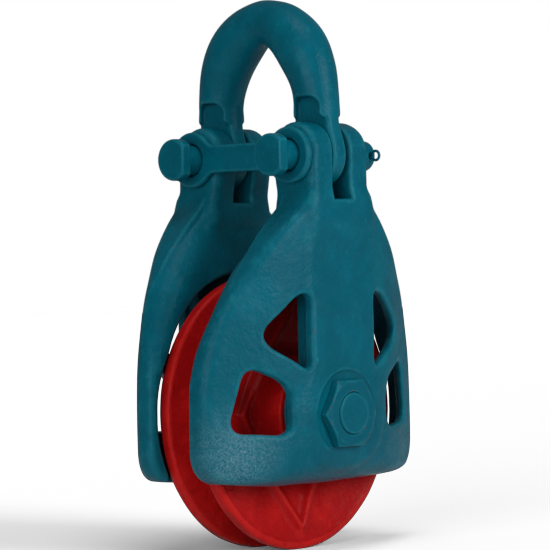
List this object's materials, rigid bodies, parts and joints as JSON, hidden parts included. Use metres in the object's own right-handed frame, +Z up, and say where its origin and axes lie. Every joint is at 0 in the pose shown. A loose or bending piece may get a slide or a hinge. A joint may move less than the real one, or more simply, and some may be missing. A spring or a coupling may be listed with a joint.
{
  "type": "single sheave block",
  "caption": "Heavy single sheave block: two open cast cheeks on a bolted bow shackle, with a deep-grooved sheave on taper roller bearings.",
  "frame": {"origin": "crown of the shackle, on the inner surface of the bow, where the load hangs", "axes": "+Z up along the block; X along the shackle bolts, heads at -X; Y along the centre pin, nut at -Y"},
  "size_m": [0.287, 0.1919, 0.5102],
  "materials": {
    "cheek_paint": "semi-gloss teal enamel over rough casting",
    "shackle_paint": "semi-gloss teal enamel over forging",
    "fastener_paint": "semi-gloss teal enamel, scuffed",
    "cotter_steel": "painted wire",
    "sheave_paint": "semi-gloss red enamel over casting",
    "bearing_steel": "ground and polished",
    "cage_steel": "pressed steel",
    "spacer_steel": "turned steel, lightly oiled",
    "seal_rubber": "matt rubber",
    "brass": "brass-coloured plated fitting"
  },
  "bodies": {
    "block_frame": {"shackle": "shackle_paint", "front_cheek": "cheek_paint", "rear_cheek": "cheek_paint", "link_plate": "fastener_paint", "front_shackle_bolt": "fastener_paint", "rear_shackle_bolt": "fastener_paint", "front_cotter_pin": "cotter_steel", "rear_cotter_pin": "cotter_steel", "centre_pin": "fastener_paint", "centre_pin_nut": "fastener_paint", "grease_fitting": "brass", "cone_spacer": "spacer_steel", "front_side_spacer": "spacer_steel", "rear_side_spacer": "spacer_steel", "front_bearing_cone": "bearing_steel", "rear_bearing_cone": "bearing_steel"},
    "sheave_wheel": {"sheave": "sheave_paint", "front_bearing_cup": "bearing_steel", "rear_bearing_cup": "bearing_steel", "front_seal": "seal_rubber", "rear_seal": "seal_rubber"},
    "front_roller_set": {"front_bearing_cage": "cage_steel", "front_roller_01": "bearing_steel", "front_roller_02": "bearing_steel", "front_roller_03": "bearing_steel", "front_roller_04": "bearing_steel", "front_roller_05": "bearing_steel", "front_roller_06": "bearing_steel", "front_roller_07": "bearing_steel", "front_roller_08": "bearing_steel", "front_roller_09": "bearing_steel", "front_roller_10": "bearing_steel", "front_roller_11": "bearing_steel", "front_roller_12": "bearing_steel"},
    "rear_roller_set": {"rear_bearing_cage": "cage_steel", "rear_roller_01": "bearing_steel", "rear_roller_02": "bearing_steel", "rear_roller_03": "bearing_steel", "rear_roller_04": "bearing_steel", "rear_roller_05": "bearing_steel", "rear_roller_06": "bearing_steel", "rear_roller_07": "bearing_steel", "rear_roller_08": "bearing_steel", "rear_roller_09": "bearing_steel", "rear_roller_10": "bearing_steel", "rear_roller_11": "bearing_steel", "rear_roller_12": "bearing_steel"}
  },
  "joints": [
    {"name": "sheave_spin", "type": "hinge", "parent": "block_frame", "child": "sheave_wheel", "pos_m": [0, 0, -0.341], "axis": [0, 1, 0], "continuous": true},
    {"name": "front_roller_set_spin", "type": "hinge", "parent": "block_frame", "child": "front_roller_set", "pos_m": [0, 0, -0.341], "axis": [0, 1, 0], "continuous": true},
    {"name": "rear_roller_set_spin", "type": "hinge", "parent": "block_frame", "child": "rear_roller_set", "pos_m": [0, 0, -0.341], "axis": [0, 1, 0], "continuous": true}
  ],
  "couplings": [
    {"joint": "front_roller_set_spin", "follows": "sheave_spin", "ratio": 0.5756},
    {"joint": "rear_roller_set_spin", "follows": "sheave_spin", "ratio": 0.5756}
  ]
}
